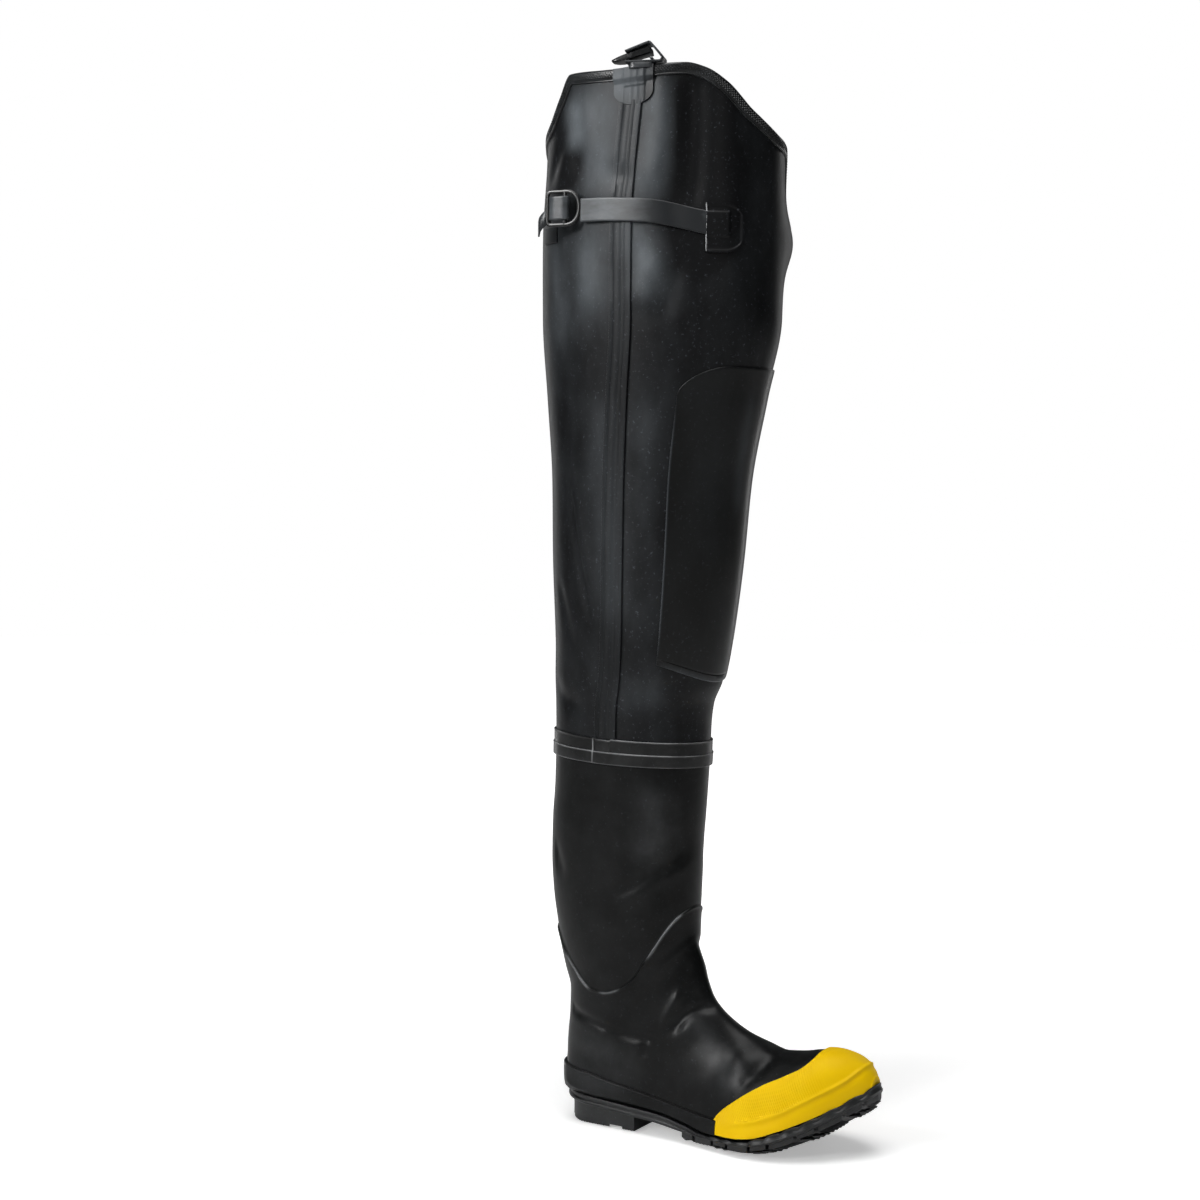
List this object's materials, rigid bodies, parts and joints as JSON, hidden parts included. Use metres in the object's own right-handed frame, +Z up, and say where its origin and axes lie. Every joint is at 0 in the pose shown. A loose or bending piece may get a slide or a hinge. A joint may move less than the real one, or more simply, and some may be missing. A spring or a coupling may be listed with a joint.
{
  "type": "hip wader boot",
  "caption": "Rubber hip boot with a tall thin thigh shaft, a lugged sole with a heel, a moulded toe cap, a raised collar and a strap on the outer side.",
  "frame": {"origin": "on the floor under the heel, on the heel's flat ground face", "axes": "+X towards the toe, +Y towards the inner side of the leg, +Z up the leg"},
  "size_m": [0.3187, 0.1687, 0.9124],
  "materials": {
    "calf_rubber": "satin",
    "shaft_rubber": "matt with a pale bloom",
    "sole_rubber": "matt",
    "cap_rubber": "satin yellow",
    "insole_board": "matt",
    "strap_rubber": "satin",
    "buckle_plastic": "satin black",
    "pin_steel": "brushed"
  },
  "bodies": {
    "root": {"outsole": "sole_rubber", "heel": "sole_rubber", "insole": "insole_board", "upper": "calf_rubber", "foxing": "calf_rubber", "joint_band": "calf_rubber", "toe_cap": "cap_rubber", "thigh_shaft": "shaft_rubber", "side_seam_tape": "shaft_rubber", "knee_patch": "shaft_rubber", "collar_binding": "shaft_rubber", "belt_tab": "shaft_rubber", "strap_anchor": "shaft_rubber", "strap_pad": "shaft_rubber", "belt_strap": "strap_rubber", "thigh_strap": "strap_rubber", "belt_buckle": "buckle_plastic", "thigh_buckle": "buckle_plastic", "belt_pin": "pin_steel"}
  },
  "joints": []
}
